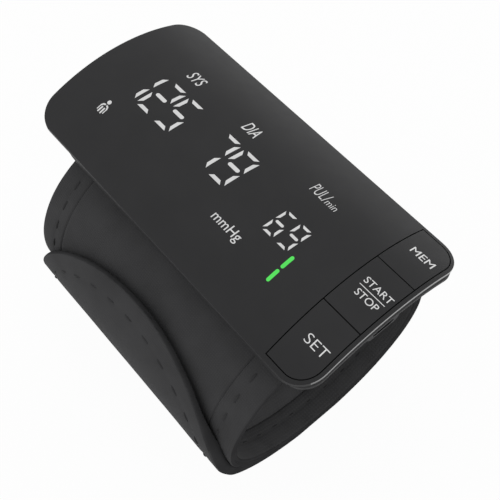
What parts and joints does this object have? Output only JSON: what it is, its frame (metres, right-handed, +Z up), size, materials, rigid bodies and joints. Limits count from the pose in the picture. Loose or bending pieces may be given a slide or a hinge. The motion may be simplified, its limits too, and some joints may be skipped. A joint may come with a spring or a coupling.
{
  "type": "wrist blood pressure monitor",
  "caption": "Wrist blood pressure monitor: a slim arched head with a dark display panel and push keys, seated on a padded fabric cuff whose rounded tail peels open.",
  "frame": {"origin": "on the resting plane, under the middle of the head", "axes": "+X along the head towards the keys, +Y across the head, +Z up out of the display"},
  "size_m": [0.0912, 0.0641, 0.0666],
  "materials": {
    "cover": "satin charcoal dead-front panel",
    "key": "satin charcoal keys",
    "rear": "fine matte texture",
    "black_plastic": "moulded",
    "board": "solder mask",
    "diffuser": "milky light guide",
    "pouch": "laminated foil pouch",
    "steel": "plated",
    "silicone": "translucent silicone",
    "fabric": "brushed loop fabric",
    "lining": "smooth coated lining",
    "stay": "natural sheet",
    "bladder": "welded film",
    "hook": "hook tape"
  },
  "bodies": {
    "head": {"front_cover": "cover", "rear_case": "rear", "set_switch": "black_plastic", "start_stop_switch": "black_plastic", "mem_switch": "black_plastic", "main_board": "board", "display_module": "diffuser", "usb_port": "steel", "pressure_sensor": "black_plastic", "buzzer": "black_plastic", "control_chip": "black_plastic", "battery": "pouch", "pump_motor": "steel", "pump_head": "black_plastic", "air_manifold": "silicone", "sensor_tube": "silicone", "valve_body": "steel", "case_screw_1": "steel", "case_screw_2": "steel", "case_screw_3": "steel", "case_screw_4": "steel", "cuff_screw_1": "steel", "cuff_screw_2": "steel", "cuff_screw_3": "steel", "cuff_screw_4": "steel", "cuff_shell": "fabric", "cuff_stay": "stay", "air_bladder": "bladder", "cuff_lining": "lining"},
    "set_key": {"set_button": "key"},
    "start_stop_key": {"start_stop_button": "key"},
    "mem_key": {"mem_button": "key"},
    "tail": {"cuff_tail": "fabric", "hook_patch": "hook"},
    "pump_rotor": {"pump_shaft": "steel"},
    "valve_core": {"valve_plunger": "steel"}
  },
  "joints": [
    {"name": "set_press", "type": "slide", "parent": "head", "child": "set_key", "axis": [0, 0, -1], "range_m": [0, 0.0004], "stiffness_N_per_m": 1500},
    {"name": "start_stop_press", "type": "slide", "parent": "head", "child": "start_stop_key", "axis": [0, 0, -1], "range_m": [0, 0.0004], "stiffness_N_per_m": 1500},
    {"name": "mem_press", "type": "slide", "parent": "head", "child": "mem_key", "axis": [0, 0, -1], "range_m": [0, 0.0004], "stiffness_N_per_m": 1500},
    {"name": "tail_peel", "type": "hinge", "parent": "head", "child": "tail", "pos_m": [0, -0.02756, 0.00509], "axis": [1, 0, 0], "range_deg": [0, 75]},
    {"name": "pump_spin", "type": "hinge", "parent": "head", "child": "pump_rotor", "pos_m": [0, 0.0158, 0.05686], "axis": [1, 0, 0], "continuous": true},
    {"name": "valve_slide", "type": "slide", "parent": "head", "child": "valve_core", "axis": [-1, 0, 0], "range_m": [0, 0.0008], "stiffness_N_per_m": 300}
  ]
}
